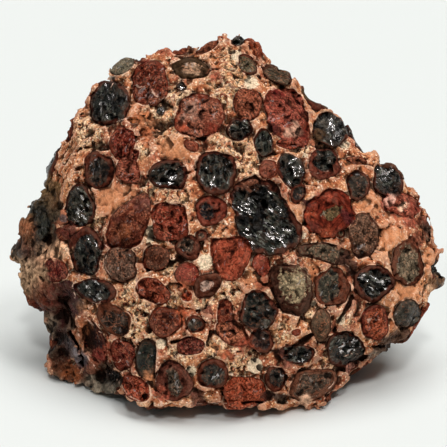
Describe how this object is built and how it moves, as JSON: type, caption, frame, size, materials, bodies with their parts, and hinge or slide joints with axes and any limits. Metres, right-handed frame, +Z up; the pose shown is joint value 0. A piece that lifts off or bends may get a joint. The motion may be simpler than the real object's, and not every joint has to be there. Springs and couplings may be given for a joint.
{
  "type": "bauxite specimen",
  "caption": "Broken lump of pisolitic bauxite with a rounded-triangular fracture face, rough flanks and a worn underside it rests on; a mineral specimen for display.",
  "frame": {"origin": "bottom centre of the bounding box, on the plane the stone rests on", "axes": "+X along the longest extent, +Z up, the main fracture face looks towards -Y and leans back 22 degrees"},
  "size_m": [0.1118, 0.066, 0.0849],
  "materials": {
    "ore": "broken, earthy matrix with glossy dark pisoliths"
  },
  "bodies": {
    "root": {"bauxite": "ore"}
  },
  "joints": []
}
